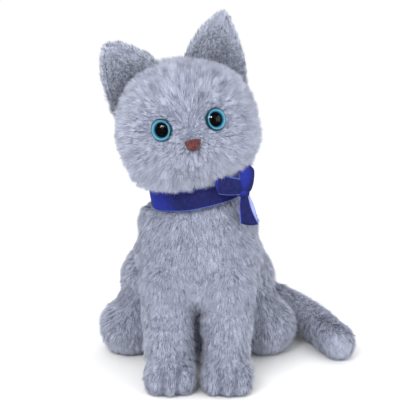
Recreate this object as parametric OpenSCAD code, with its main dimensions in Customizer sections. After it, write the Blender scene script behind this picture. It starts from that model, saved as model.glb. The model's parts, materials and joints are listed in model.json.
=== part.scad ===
// Sitting plush kitten: sewn covers over stuffing, safety eyes, stitched nose, velvet ribbon with a side bow.
// It faces -Y with +Z up; left and right are the cat's own, so its left is +X.
// The origin is the centre of the seat panel's underside.

/* [Head] */
// Half of the head's width, without pile
head_half_w = 44; // [42:0.5:45]
// Radius of the head seen from the side, without pile
head_r = 38.5; // [37:0.5:39]
// Height of the head's centre
head_z = 171; // [170:0.5:173]
// Sideways tilt of the head, left ear up
head_roll = 10.5; // [6:0.5:12]
// Turn of the face towards the cat's left
head_yaw = 3; // [0:0.5:5]
// Radius of the stuffed muzzle
muzzle_r = 14; // [12:0.5:15]

/* [Eyes and nose] */
// Diameter of a safety eye
eye_d = 15; // [12:0.5:16]
// Distance of each eye from the middle of the face
eye_x = 18.2; // [17:0.1:19]
// Outward turn of each eye
eye_turn = 41.6; // [34:0.1:44]
// Width of the nose
nose_w = 10.8; // [8:0.1:13]

/* [Ears] */
// Length of an ear from its fold line to its tip
ear_h = 32; // [26:0.5:36]
// Width of an ear along its fold line
ear_w = 34; // [28:0.5:38]
// Slope of the fold line, outer end down
ear_slope = 37; // [34:0.5:40]
// Turn of both ears round the head, towards its right
ear_roll = 3; // [0:0.5:4]

/* [Body] */
// Height of the neck's pivot
neck_z = 126; // [125:0.5:127]
// Radius of the neck's dome
neck_r = 28; // [26:0.5:28]
// Radius of the chest at its widest
chest_r = 38; // [36:0.5:39]
// Radius of the rump seen from the side
rump_r = 38; // [36:0.5:39]
// Half of the rump's width between the hind legs
rump_half_w = 25.6; // [24:0.1:25.6]
// Thickness of the plush cloth and its backing
cloth = 2.4; // [2:0.1:3]

/* [Legs] */
// Height of the front leg's shoulder
shoulder_z = 66; // [64:0.5:68]
// Radius of a front leg
front_leg_r = 14.5; // [13.5:0.1:15]
// Radius of a front paw
paw_r = 15; // [13:0.5:15.5]
// Radius of a thigh seen from the side
thigh_r = 25; // [23:0.5:25]
// Thickness of a thigh
thigh_w = 28; // [24:0.5:30]
// Radius of a hind foot's toe end
foot_r = 19; // [17.5:0.5:19.5]

/* [Tail] */
// Radius of the tail without pile
tail_r = 10; // [8:0.5:10]

/* [Ribbon] */
// Width of the velvet ribbon
ribbon_w = 13.5; // [10:0.5:15]
// Thickness of the velvet ribbon
ribbon_t = 1.2; // [0.8:0.1:1.4]

/* [Hidden] */

$fn = 64;
LEFT = 1;
RIGHT = -1;
ARC_STEPS = 8;
BIG = 400;
fur = "#9aa2b6";
fur_lining = "#7f869b";
fluff = "#f3f1ea";
velvet = "#262c66";
satin = "#b9c4f0";
thread = "#6b7183";
seam_gap = 0.2;
stuffing_gap = 0.35;
play = 0.4;

head_centre = [-7.8, -32, head_z];
neck_pivot = [0, -28, neck_z];
head_socket_r = neck_r + 6;
muzzle_centre = [0, -30, -10];
gusset_half_w = 8;
nose_h = 7.8;
nose_z = -5.1;

eye_r = eye_d / 2;
eye_place = [eye_x, -35, 5.6];
eye_pitch = 8;
eye_base_t = 1.5;
eye_dome_h = 4.3;
shank_r = 2.2;
shank_l = 12;
washer_r = 6.3;
washer_depth = 5.2;

ear_place = [30.6, 5, 33.4];
ear_round = 3.2;
ear_tip_shift = -12;

chest_z = 76;
chest_floor_z = 46;
shoulder_collar_z = 118;
rump_centre = [0, 8, rump_r];
rump_edge = 8;
side_seam_y = -10;
seat_r = 22;
pellet_centre = [0, 4, 22];
pellet_r = 17;
neck_stem_r = 12;
neck_ball_r = 20;

shoulder = [19.5, -60, shoulder_z];
ankle = [20, -64, 15];
paw_centre = [20.5, -67, 13.5];
paw_half_l = 18;
shoulder_r = front_leg_r + 2;
leg_clearance_y = -42.5;
leg_clearance_z = 63;
hip = [rump_half_w + 0.6, 12, 48];
toe_centre = [46.5, 0, 18];
heel_centre = [42, 22, 15];
heel_r = 15;

tail_start = [14, 51, 27];
tail_bend_1 = [45, 58, 25];
tail_bend_2 = [80, 27, 16];
tail_end = [98, -12, 11];
tail_cup_r = tail_r + 2;

band_r = neck_r + 2.4;
knot_place = [27.5, -52, 130.5];
knot_angle = 49;
knot_size = [7, 8.4, 12];
loop_gap = 3.2;

// Axis-aligned solid of an ellipse turned about its long axis, which runs along X
module spindle(half_l, r) {
    rotate([0, 90, 0])
        rotate_extrude()
            polygon([for (i = [0:ARC_STEPS]) [
                r * sin(180 * i / ARC_STEPS),
                -half_l * cos(180 * i / ARC_STEPS)
            ]]);
}

// Places children with their Z axis running from one point to another
module along(from, to) {
    run = to - from;
    translate(from)
        rotate([0, acos(run[2] / norm(run)), atan2(run[1], run[0])])
            children();
}

// Round bar between two points with a ball at each end, tapered so that it is tangent to both balls
module capsule(from, to, r_from, r_to) {
    length = norm(to - from);
    tangent = asin((r_from - r_to) / length);
    along(from, to)
        rotate_extrude()
            polygon(concat(
                [for (i = [0:ARC_STEPS])
                    let (a = -90 + (90 + tangent) * i / ARC_STEPS)
                    [r_from * cos(a), r_from * sin(a)]],
                [for (i = [0:ARC_STEPS])
                    let (a = tangent + (90 - tangent) * i / ARC_STEPS)
                    [r_to * cos(a), length + r_to * sin(a)]]
            ));
}

module above(z) {
    translate([-BIG / 2, -BIG / 2, z]) cube(BIG);
}

// Mirrors a part made for the cat's left side onto the chosen side
module on_side(side) {
    if (side == LEFT) children();
    else mirror([1, 0, 0]) children();
}

// ---- Head ----

module head_frame() {
    translate(head_centre)
        rotate([0, -head_roll, 0])
            rotate([0, 0, head_yaw])
                children();
}

module head_form(inset) {
    spindle(head_half_w - inset, head_r - inset);
    translate(muzzle_centre) sphere(muzzle_r - inset);
}

module eye_frame(side) {
    translate([side * eye_place[0], eye_place[1], eye_place[2]])
        rotate([90 - eye_pitch, 0, side * eye_turn])
            children();
}

// Room in the cover and the stuffing for an eye, its shank and its washer
module eye_pocket(side) {
    eye_frame(side) {
        translate([0, 0, -play]) cylinder(h = eye_r * 2, r = eye_r + play);
        translate([0, 0, -shank_l - 1]) cylinder(h = shank_l + 2, r = shank_r + 2 * play);
        translate([0, 0, -washer_depth - 1]) cylinder(h = 3, r = washer_r + play);
    }
}

module head_cloth() {
    difference() {
        head_frame() difference() {
            head_form(0);
            head_form(cloth);
            eye_pocket(LEFT);
            eye_pocket(RIGHT);
        }
        translate(neck_pivot) sphere(head_socket_r);
    }
}

module head_slab(from_x, to_x) {
    head_frame()
        translate([from_x, -BIG / 2, -BIG / 2])
            cube([to_x - from_x, BIG, BIG]);
}

module head_left_panel() {
    color(fur) intersection() {
        head_cloth();
        head_slab(gusset_half_w + seam_gap, BIG / 2);
    }
}

module head_right_panel() {
    color(fur) intersection() {
        head_cloth();
        head_slab(-BIG / 2, -gusset_half_w - seam_gap);
    }
}

module head_gusset() {
    color(fur) intersection() {
        head_cloth();
        head_slab(-gusset_half_w, gusset_half_w);
    }
}

module head_stuffing() {
    color(fluff) difference() {
        head_frame() difference() {
            head_form(cloth + seam_gap);
            eye_pocket(LEFT);
            eye_pocket(RIGHT);
        }
        translate(neck_pivot) sphere(head_socket_r);
    }
}

// A thin pad on the muzzle, wider at the top
module nose() {
    half_w = nose_w / 2;
    color("#a0605f") head_frame() intersection() {
        translate([0, muzzle_centre[1], nose_z])
            rotate([90, 0, 0])
                linear_extrude(2 * muzzle_r)
                    polygon([
                        [-half_w, nose_h / 2], [half_w, nose_h / 2],
                        [half_w * 0.4, -nose_h / 2], [-half_w * 0.4, -nose_h / 2]
                    ]);
        translate(muzzle_centre) difference() {
            sphere(muzzle_r + 1.9);
            sphere(muzzle_r + seam_gap);
        }
    }
}

module eye_dome(side) {
    dome_r = (eye_r * eye_r + eye_dome_h * eye_dome_h) / (2 * eye_dome_h);
    color("#5cb3c8", 0.5) head_frame() eye_frame(side) intersection() {
        translate([0, 0, eye_base_t + eye_dome_h - dome_r]) sphere(dome_r);
        translate([0, 0, eye_base_t]) cylinder(h = eye_dome_h + 1, r = eye_r);
    }
}

module eye_base(side) {
    color("#10181f") head_frame() eye_frame(side) {
        cylinder(h = eye_base_t - 0.05, r = eye_r);
        translate([0, 0, -shank_l]) cylinder(h = shank_l + 0.5, r = shank_r);
        for (rib = [2:2:shank_l - 2])
            translate([0, 0, -rib]) cylinder(h = 0.8, r = shank_r + 0.3);
    }
}

module eye_washer(side) {
    color("#e8e8e8") head_frame() eye_frame(side)
        translate([0, 0, -washer_depth])
            difference() {
                cylinder(h = 1.2, r = washer_r);
                translate([0, 0, -1]) cylinder(h = 4, r = shank_r + 0.4);
            }
}

module left_eye_dome() { eye_dome(LEFT); }
module left_eye_base() { eye_base(LEFT); }
module left_eye_washer() { eye_washer(LEFT); }
module right_eye_dome() { eye_dome(RIGHT); }
module right_eye_base() { eye_base(RIGHT); }
module right_eye_washer() { eye_washer(RIGHT); }

// ---- Ears: two cloths sewn round the edge, folding along the line where they meet the head ----

module ear_form() {
    hull() {
        translate([-ear_w / 2 + ear_round, 0, 0]) sphere(ear_round, $fn = 32);
        translate([ear_w / 2 - ear_round, 0, 0]) sphere(ear_round, $fn = 32);
        translate([ear_tip_shift, 0, ear_h - ear_round]) sphere(ear_round, $fn = 32);
    }
}

module ear_layer(side, front) {
    from_y = front ? -BIG - seam_gap / 2 : seam_gap / 2;
    head_frame() rotate([0, -ear_roll, 0]) on_side(side)
        translate(ear_place)
            rotate([0, ear_slope, 0])
                intersection() {
                    ear_form();
                    translate([-BIG / 2, from_y, -BIG / 2]) cube(BIG);
                }
}

module left_ear_back() { color(fur) ear_layer(LEFT, false); }
module left_ear_lining() { color(fur_lining) ear_layer(LEFT, true); }
module right_ear_back() { color(fur) ear_layer(RIGHT, false); }
module right_ear_lining() { color(fur_lining) ear_layer(RIGHT, true); }

// ---- Neck ----

// Ring of thread about the neck's pivot, at a height angle seen from it
module neck_ring(reach, height_angle, thread_r) {
    translate(neck_pivot)
        translate([0, 0, reach * sin(height_angle)])
            rotate_extrude()
                translate([reach * cos(height_angle), 0]) circle(thread_r, $fn = 24);
}

module neck_ladder_stitch() { color(thread) neck_ring(head_socket_r - 1.1, 40, 0.6); }

module neck_gathering_thread() { color(thread) neck_ring(neck_r + 0.9, 38, 0.5); }

module neck_stuffing() {
    color(fluff) translate(neck_pivot) {
        sphere(neck_ball_r);
        intersection() {
            cylinder(h = head_socket_r, r = neck_stem_r);
            sphere(head_socket_r - 0.6);
        }
    }
}

// ---- Torso ----

function chest_radius(z) =
    let (t = (z - chest_z) / (shoulder_collar_z - chest_z))
    chest_r + (neck_r - 1.2 - chest_r) * t * t * (3 - 2 * t);

// The chest is round about the neck's upright axis and ends above in the neck's dome
module chest_form(inset) {
    collar_angle = asin((shoulder_collar_z - neck_z) / neck_r);
    floor_h = chest_z - chest_floor_z;
    translate([neck_pivot[0], neck_pivot[1], 0])
        rotate_extrude()
            polygon(concat(
                [for (i = [0:ARC_STEPS]) [
                    (chest_r - inset) * sin(90 * i / ARC_STEPS),
                    chest_z - (floor_h - inset) * cos(90 * i / ARC_STEPS)
                ]],
                [for (i = [1:ARC_STEPS - 1])
                    let (z = chest_z + (shoulder_collar_z - chest_z) * i / ARC_STEPS)
                    [chest_radius(z) - inset, z]],
                [for (i = [0:ARC_STEPS])
                    let (a = collar_angle + (90 - collar_angle) * i / ARC_STEPS)
                    [(neck_r - inset) * cos(a), neck_z + (neck_r - inset) * sin(a)]]
            ));
}

// The rump is a thick wheel about X with rounded edges, over a round flat base
module rump_form(inset) {
    half_w = rump_half_w - inset;
    rim = rump_r - inset;
    translate(rump_centre)
        rotate([0, 90, 0])
            rotate_extrude()
                polygon(concat(
                    [[0, -half_w]],
                    [for (i = [0:ARC_STEPS]) [
                        rim - rump_edge + rump_edge * sin(90 * i / ARC_STEPS),
                        -half_w + rump_edge - rump_edge * cos(90 * i / ARC_STEPS)
                    ]],
                    [for (i = [0:ARC_STEPS]) [
                        rim - rump_edge + rump_edge * cos(90 * i / ARC_STEPS),
                        half_w - rump_edge + rump_edge * sin(90 * i / ARC_STEPS)
                    ]],
                    [[0, half_w]]
                ));
    cylinder(h = rump_r, r = rump_half_w - inset);
}

// Room for the limbs: shoulders, front legs, thighs, tail root and the neck's stuffing
module limb_room() {
    for (side = [LEFT, RIGHT]) on_side(side) {
        translate(shoulder) sphere(shoulder_r + 0.7);
        translate([rump_half_w, hip[1], hip[2]])
            rotate([0, 90, 0])
                cylinder(h = thigh_w, r = thigh_r + 0.8);
    }
    translate([-BIG / 2, leg_clearance_y - BIG, leg_clearance_z - BIG]) cube(BIG);
    translate(tail_start) sphere(tail_r + 0.7);
    capsule(tail_start, tail_bend_1, tail_r + 1.5, tail_r + 1.5);
    translate(neck_pivot) sphere(neck_ball_r + 0.5);
    translate(neck_pivot + [0, 0, neck_stem_r])
        cylinder(h = neck_r - neck_stem_r + 1, r1 = neck_stem_r + 3, r2 = neck_ball_r + 2);
}

module torso_cloth() {
    difference() {
        intersection() {
            union() {
                chest_form(0);
                rump_form(0);
            }
            above(0);
        }
        chest_form(cloth);
        rump_form(cloth);
        limb_room();
    }
}

module side_seam_half(front) {
    translate([-BIG / 2, side_seam_y - (front ? BIG + seam_gap : 0), 0]) cube(BIG);
}

module chest_panel() {
    color(fur) intersection() {
        torso_cloth();
        side_seam_half(true);
    }
}

module back_panel() {
    color(fur) intersection() {
        torso_cloth();
        side_seam_half(false);
    }
}

module torso_stuffing() {
    color(fluff) difference() {
        intersection() {
            union() {
                chest_form(cloth + stuffing_gap);
                rump_form(cloth + stuffing_gap);
            }
            above(cloth);
        }
        limb_room();
        translate(pellet_centre) sphere(pellet_r + seam_gap);
    }
}

module pellet_bag() {
    color("#d9d4c5") translate(pellet_centre) sphere(pellet_r);
}

module seat_panel() {
    color(fur_lining) cylinder(h = cloth - seam_gap, r = seat_r);
}

module closing_seam() {
    color(thread)
        translate([0, 0, cloth / 2])
            rotate_extrude()
                translate([seat_r + 0.6, 0]) circle(0.4, $fn = 24);
}

// ---- Front legs ----

module front_leg_form(inset) {
    intersection() {
        union() {
            capsule(shoulder, ankle, shoulder_r - inset, front_leg_r - inset);
            translate(paw_centre) rotate([0, 0, 90]) spindle(paw_half_l - inset, paw_r - inset);
        }
        above(inset);
    }
}

module front_leg_cover(side) {
    color(fur) on_side(side) difference() {
        front_leg_form(0);
        front_leg_form(cloth);
    }
}

module front_leg_stuffing(side) {
    color(fluff) on_side(side) front_leg_form(cloth + seam_gap);
}

// Two short threads that draw in the front of a paw between its toes
module toe_stitches(side) {
    toe_pitch = 8;
    stitch_l = 5;
    color(thread) on_side(side)
        for (shift = [-toe_pitch / 2, toe_pitch / 2])
            translate([paw_centre[0] + shift, paw_centre[1] - paw_half_l - 0.6, paw_centre[2] - stitch_l / 2])
                cylinder(h = stitch_l, r = 0.5);
}

module front_left_leg_cover() { front_leg_cover(LEFT); }
module front_left_leg_stuffing() { front_leg_stuffing(LEFT); }
module front_left_toe_stitches() { toe_stitches(LEFT); }
module front_right_leg_cover() { front_leg_cover(RIGHT); }
module front_right_leg_stuffing() { front_leg_stuffing(RIGHT); }
module front_right_toe_stitches() { toe_stitches(RIGHT); }

// ---- Hind legs ----

module hind_leg_form(inset) {
    intersection() {
        union() {
            translate([hip[0] + inset, hip[1], hip[2]])
                rotate([0, 90, 0])
                    rotate_extrude()
                        polygon(concat(
                            [[0, 0]],
                            [for (i = [0:ARC_STEPS]) [
                                (thigh_r - inset) * cos(90 * i / ARC_STEPS),
                                (thigh_w - 2 * inset) * sin(90 * i / ARC_STEPS)
                            ]]
                        ));
            capsule(heel_centre, toe_centre, heel_r - inset, foot_r - inset);
        }
        above(inset);
    }
}

module hind_leg_cover(side) {
    color(fur) on_side(side) difference() {
        hind_leg_form(0);
        hind_leg_form(cloth);
    }
}

module hind_leg_stuffing(side) {
    color(fluff) on_side(side) hind_leg_form(cloth + seam_gap);
}

module hind_left_leg_cover() { hind_leg_cover(LEFT); }
module hind_left_leg_stuffing() { hind_leg_stuffing(LEFT); }
module hind_right_leg_cover() { hind_leg_cover(RIGHT); }
module hind_right_leg_stuffing() { hind_leg_stuffing(RIGHT); }

// ---- Tail: one sewn tube in three lengths that bend where they meet ----

module tail_cover(from, to, cup) {
    color(fur) difference() {
        capsule(from, to, tail_r, tail_r);
        capsule(from, to, tail_r - cloth, tail_r - cloth);
        if (cup) translate(to) sphere(tail_cup_r);
    }
}

module tail_stuffing(from, to, cup) {
    stuffing_r = tail_r - cloth - seam_gap;
    color(fluff) difference() {
        capsule(from, to, stuffing_r, stuffing_r);
        if (cup) translate(to) sphere(tail_cup_r);
    }
}

module tail_root_cover() { tail_cover(tail_start, tail_bend_1, true); }
module tail_root_stuffing() { tail_stuffing(tail_start, tail_bend_1, true); }
module tail_middle_cover() { tail_cover(tail_bend_1, tail_bend_2, true); }
module tail_middle_stuffing() { tail_stuffing(tail_bend_1, tail_bend_2, true); }
module tail_tip_cover() { tail_cover(tail_bend_2, tail_end, false); }
module tail_tip_stuffing() { tail_stuffing(tail_bend_2, tail_end, false); }

// ---- Ribbon ----

module ribbon_band() {
    color(velvet) translate(neck_pivot) rotate([0, -head_roll, 0])
        difference() {
            cylinder(h = ribbon_w, r = band_r + ribbon_t, center = true);
            cylinder(h = ribbon_w + 2, r = band_r, center = true);
        }
}

module bow_knot() {
    color(velvet) translate(knot_place) rotate([0, 0, knot_angle]) cube(knot_size, center = true);
}

// Outline of a folded loop of ribbon, closed at its far end
module loop_outline(reach) {
    difference() {
        union() {
            circle(loop_gap / 2 + ribbon_t);
            translate([0, -loop_gap / 2 - ribbon_t]) square([reach, loop_gap + 2 * ribbon_t]);
            translate([reach, 0]) circle(loop_gap / 2 + ribbon_t);
        }
        circle(loop_gap / 2);
        translate([0, -loop_gap / 2]) square([reach, loop_gap]);
        translate([reach, 0]) circle(loop_gap / 2);
    }
}

module bow_side_loop() {
    color(velvet) translate([20.6, -58.8, 132.5]) rotate([0, -head_roll / 2, 190])
        linear_extrude(ribbon_w * 0.7, center = true) loop_outline(6);
}

module bow_upright_loop() {
    color(velvet) translate([32.5, -54, 139.9]) rotate([0, -90, 0]) rotate([0, 0, -4])
        linear_extrude(ribbon_w * 0.55, center = true) loop_outline(3.2);
}

// A flat hanging end of ribbon, cut on the slant
module hanging_end(length, width, slant) {
    rotate([90, 0, 0])
        linear_extrude(ribbon_t * 0.7)
            polygon([
                [-width * 0.4, 0], [width * 0.4, 0],
                [width / 2, -length + slant], [-width / 2, -length]
            ]);
}

module ribbon_front_tail() {
    color(velvet) translate([31.5, -57.6, 123]) rotate([-4, 0, 0]) hanging_end(14.5, 11, 1.5);
}

module ribbon_back_tail() {
    color(satin) translate([34.5, -55.2, 123]) rotate([-4, -10, 0]) hanging_end(12, 9, 2);
}

head_left_panel();
head_right_panel();
head_gusset();
head_stuffing();
nose();
left_eye_dome();
left_eye_base();
left_eye_washer();
right_eye_dome();
right_eye_base();
right_eye_washer();
left_ear_back();
left_ear_lining();
right_ear_back();
right_ear_lining();
neck_ladder_stitch();
neck_stuffing();
neck_gathering_thread();
chest_panel();
back_panel();
torso_stuffing();
pellet_bag();
seat_panel();
closing_seam();
front_left_leg_cover();
front_left_leg_stuffing();
front_left_toe_stitches();
front_right_leg_cover();
front_right_leg_stuffing();
front_right_toe_stitches();
hind_left_leg_cover();
hind_left_leg_stuffing();
hind_right_leg_cover();
hind_right_leg_stuffing();
tail_root_cover();
tail_root_stuffing();
tail_middle_cover();
tail_middle_stuffing();
tail_tip_cover();
tail_tip_stuffing();
ribbon_band();
bow_knot();
bow_side_loop();
bow_upright_loop();
ribbon_front_tail();
ribbon_back_tail();
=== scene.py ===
"""Sitting plush kitten.

Padded skins under long pile, a velvet ribbon with a side bow, glossy eyes and a stitched nose.
Shapes are in millimetres of the row frame until mesh_object turns them into metres.
"""

import json
import math

import bmesh
import bpy
import numpy as np
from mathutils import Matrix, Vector


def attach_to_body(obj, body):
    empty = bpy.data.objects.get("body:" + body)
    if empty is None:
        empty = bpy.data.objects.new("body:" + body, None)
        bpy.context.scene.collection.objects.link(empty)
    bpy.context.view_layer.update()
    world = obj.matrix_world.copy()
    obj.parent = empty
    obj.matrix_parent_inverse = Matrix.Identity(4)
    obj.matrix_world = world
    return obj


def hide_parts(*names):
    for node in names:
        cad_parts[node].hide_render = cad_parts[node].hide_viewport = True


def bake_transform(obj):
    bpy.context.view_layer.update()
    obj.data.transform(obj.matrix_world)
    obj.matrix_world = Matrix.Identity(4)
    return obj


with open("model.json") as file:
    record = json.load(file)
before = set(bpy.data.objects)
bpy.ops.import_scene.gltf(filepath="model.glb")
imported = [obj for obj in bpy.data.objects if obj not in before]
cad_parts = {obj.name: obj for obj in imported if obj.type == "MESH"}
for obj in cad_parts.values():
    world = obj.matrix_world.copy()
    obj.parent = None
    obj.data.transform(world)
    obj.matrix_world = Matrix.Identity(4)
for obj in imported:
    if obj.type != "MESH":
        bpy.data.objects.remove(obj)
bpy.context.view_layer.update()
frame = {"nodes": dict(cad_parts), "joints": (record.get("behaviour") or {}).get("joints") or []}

MM = 0.001
LEFT, RIGHT = 1, -1
SIDE_NAME = {LEFT: "left", RIGHT: "right"}
UP = np.array([0.0, 0.0, 1.0])
AHEAD = np.array([0.0, -1.0, 0.0])
JOINTS = {j["name"]: j for j in frame["joints"]}


def joint_point(name):
    """A joint's pivot in the row frame, in millimetres."""
    return np.array(JOINTS[name]["pos_m"]) / MM


def turn(axis, degrees):
    """Rotation matrix about one of the row's axes."""
    a = math.radians(degrees)
    c, s = math.cos(a), math.sin(a)
    rows = {
        "x": [[1, 0, 0], [0, c, -s], [0, s, c]],
        "y": [[c, 0, s], [0, 1, 0], [-s, 0, c]],
        "z": [[c, -s, 0], [s, c, 0], [0, 0, 1]],
    }
    return np.array(rows[axis])


def unit(v):
    """Vectors of length one, along the last axis."""
    return v / np.maximum(np.linalg.norm(v, axis=-1, keepdims=True), 1e-9)


def circle(count):
    """Angles all the way round, without the last that would repeat the first."""
    return np.linspace(0, 2 * math.pi, count, endpoint=False)


def mirrored(points, side):
    """Points of the left half, moved to the given side."""
    return np.asarray(points) * np.array([side, 1, 1])


# ---- Sizes and places, in millimetres and degrees ----

NECK = joint_point("head_turn")
SHOULDER = joint_point("front_left_leg_swing")
HIP = joint_point("hind_left_leg_swing")
TAIL_ROOT = joint_point("tail_swing")
TAIL_BEND = joint_point("tail_bend")
TAIL_LIFT = joint_point("tail_tip_lift")

HEAD_ROLL = 10.5
HEAD_YAW = 4.7
HEAD_TURN = turn("y", -HEAD_ROLL) @ turn("z", HEAD_YAW)
HEAD_CENTRE = NECK + np.array([-7.3, -4.0, 45.0])
HEAD_HALF = np.array([40.6, 39.0, 37.4])
HEAD_FULLNESS = 2.3
MUZZLE = np.array([0.0, -38.0, -11.0])
MUZZLE_W, MUZZLE_H, MUZZLE_DEPTH = 15.0, 11.0, 7.5
CHEEK = [28.0, -18.0, -18.0]
CHEEK_R = 17.0
CHEEK_PUFF = {LEFT: 4.4, RIGHT: 5.8}
EYE_PLACE = np.array([17.0, -36.0, 6.4])
EYE_TURN = 34.0
EYE_PITCH = 10.0
EYE_R = 7.5
EYE_SEAT = -1.3  # how far the head's skin lies behind the eye's centre
NOSE_PLACE = np.array([0.0, -47.5, -4.4])

COLLAR_R = 31.5
COLLAR_DEPTH_R = 29.0
RIBBON_W = 13.4
PAW_X = 18.6
PAW_SHIFT = 0.8
PINCH = np.array([29.8, -56.0, 131.0])  # where the knot gathers the bow

# Flat width and length of each ribbon piece
SIDE_LOOP = (13.0, 42.0)
UPRIGHT_LOOP = (10.8, 35.0)
KNOT = (10.0, 21.0)
KNOT_SHOWN_W = 7.4
VELVET_END = (10.6, 22.0)
SATIN_END = (10.0, 22.6)

FLOOR_GAP = 1.0  # skins stop this far above the floor, for the pile
PILE_FLOOR_GAP = 0.3


def head_points(local):
    """Points of the head's own frame in the row frame."""
    return np.asarray(local) @ HEAD_TURN.T + HEAD_CENTRE


def head_local(points):
    """Points of the row frame in the head's own frame."""
    return (np.asarray(points) - HEAD_CENTRE) @ HEAD_TURN


def eye_turn(side):
    """How an eye is turned from straight ahead, in the head's frame."""
    return turn("z", side * EYE_TURN) @ turn("x", -EYE_PITCH)


# ---- Camera, light and floor ----


def make_camera():
    """The camera looks down at the kitten from the front."""
    elevation = math.radians(15.0)
    distance = 950.0
    aim = Vector((0.0, -14.0, 117.0))
    away = Vector((0.0, -math.cos(elevation), math.sin(elevation)))
    data = bpy.data.cameras.new("camera")
    data.sensor_width = 36.0
    data.lens = 126.3
    data.shift_x = 0.00625
    data.shift_y = -0.01
    camera = bpy.data.objects.new("camera", data)
    camera.location = (aim + away * distance) * MM
    camera.rotation_euler = (-away).to_track_quat("-Z", "Y").to_euler()
    bpy.context.scene.collection.objects.link(camera)
    bpy.context.scene.camera = camera


def area_light(name, place, width, height, watts):
    """A soft box lamp that faces the kitten's middle."""
    data = bpy.data.lights.new(name, "AREA")
    data.shape = "RECTANGLE"
    data.size = width
    data.size_y = height
    data.energy = watts
    lamp = bpy.data.objects.new(name, data)
    lamp.location = place
    lamp.rotation_euler = (Vector((0, 0, 0.1)) - Vector(place)).to_track_quat("-Z", "Y").to_euler()
    bpy.context.scene.collection.objects.link(lamp)


def make_studio():
    """Even white surroundings, a key and a fill lamp, and a white floor.

    Surroundings and floor are hidden from reflections, so the eyes mirror the lamps alone.
    """
    scene = bpy.context.scene
    scene.view_settings.view_transform = "Standard"
    world = bpy.data.worlds.new("studio")
    world.use_nodes = True
    background = world.node_tree.nodes["Background"]
    background.inputs["Color"].default_value = (1.0, 1.0, 1.0, 1.0)
    background.inputs["Strength"].default_value = 1.02
    scene.world = world
    world.cycles_visibility.glossy = False
    area_light("key", (-0.35, -0.85, 0.85), 0.55, 0.22, 6.6)
    area_light("fill", (0.8, -0.7, 0.5), 0.8, 0.8, 2.5)
    bpy.ops.mesh.primitive_plane_add(size=16.0)
    floor = bpy.context.object
    floor.name = "floor"
    material, _, shader = new_material("floor", 0.9, 0.0, 0.0)
    shader.inputs["Base Color"].default_value = (0.97, 0.97, 0.97, 1.0)
    floor.data.materials.append(material)
    floor.visible_glossy = False


# ---- Materials ----

SHADE_COUNT = 5


def new_material(name, roughness, sheen, specular):
    """A Principled material and its node tree."""
    material = bpy.data.materials.new(name)
    material.use_nodes = True
    shader = material.node_tree.nodes["Principled BSDF"]
    shader.inputs["Roughness"].default_value = roughness
    shader.inputs["Sheen Weight"].default_value = sheen
    shader.inputs["Specular IOR Level"].default_value = specular
    return material, material.node_tree, shader


def noise_value(tree, scale, detail):
    """The value of a noise in object space."""
    place = tree.nodes.new("ShaderNodeTexCoord")
    noise = tree.nodes.new("ShaderNodeTexNoise")
    noise.inputs["Scale"].default_value = scale
    noise.inputs["Detail"].default_value = detail
    tree.links.new(place.outputs["Object"], noise.inputs["Vector"])
    return noise.outputs["Fac"]


def ramp_colours(tree, shader, value, stops):
    """Base colour picked by a value, from (position, colour) stops."""
    ramp = tree.nodes.new("ShaderNodeValToRGB")
    elements = ramp.color_ramp.elements
    while len(elements) < len(stops):
        elements.new(0.5)
    for element, (position, colour) in zip(elements, stops):
        element.position = position
        element.color = (*colour, 1.0)
    tree.links.new(value, ramp.inputs["Fac"])
    tree.links.new(ramp.outputs["Color"], shader.inputs["Base Color"])
    return ramp.outputs["Color"]


def noise_colours(tree, shader, scale, dark, light):
    """Base colour that wanders between two colours; returns its socket."""
    value = noise_value(tree, scale, 4.0)
    return ramp_colours(tree, shader, value, [(0.3, dark), (0.7, light)])


def vector_math(tree, operation, source, *second):
    """A vector operation on a socket, and on a fixed vector if it takes two."""
    node = tree.nodes.new("ShaderNodeVectorMath")
    node.operation = operation
    tree.links.new(source, node.inputs[0])
    for vector in second:
        node.inputs[1].default_value = vector
    return node.outputs


def add_bump(tree, shader, scale, strength, distance):
    """Surface relief from a fine noise."""
    value = noise_value(tree, scale, 3.0)
    bump = tree.nodes.new("ShaderNodeBump")
    bump.inputs["Strength"].default_value = strength
    bump.inputs["Distance"].default_value = distance
    tree.links.new(value, bump.inputs["Height"])
    tree.links.new(bump.outputs["Normal"], shader.inputs["Normal"])


def noisy_material(name, finish, scale, dark, light, relief):
    """A material with a wandering colour and a fine relief.

    finish is its roughness, sheen and specular level; relief is the bumps' scale, strength, depth.
    """
    material, tree, shader = new_material(name, *finish)
    noise_colours(tree, shader, scale, dark, light)
    add_bump(tree, shader, *relief)
    return material


def plush_ground(name, dark, light):
    """The backing and root pile between the strands."""
    return noisy_material(name, (0.95, 0.3, 0.1), 180.0, dark, light, (900.0, 0.6, 0.0008))


def thread_material(name, dark, light):
    """Stranded embroidery thread."""
    return noisy_material(name, (0.6, 0.05, 0.2), 700.0, dark, light, (5000.0, 0.4, 0.0002))


def pile_shades(name, dark, light):
    """Plain strand materials in even steps from dark to light."""
    shades = []
    for i in range(SHADE_COUNT):
        material, _, shader = new_material(f"{name}_{i}", 0.75, 0.25, 0.15)
        t = i / (SHADE_COUNT - 1)
        colour = [a + (b - a) * t for a, b in zip(dark, light)]
        shader.inputs["Base Color"].default_value = (*colour, 1.0)
        shades.append(material)
    return shades


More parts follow.
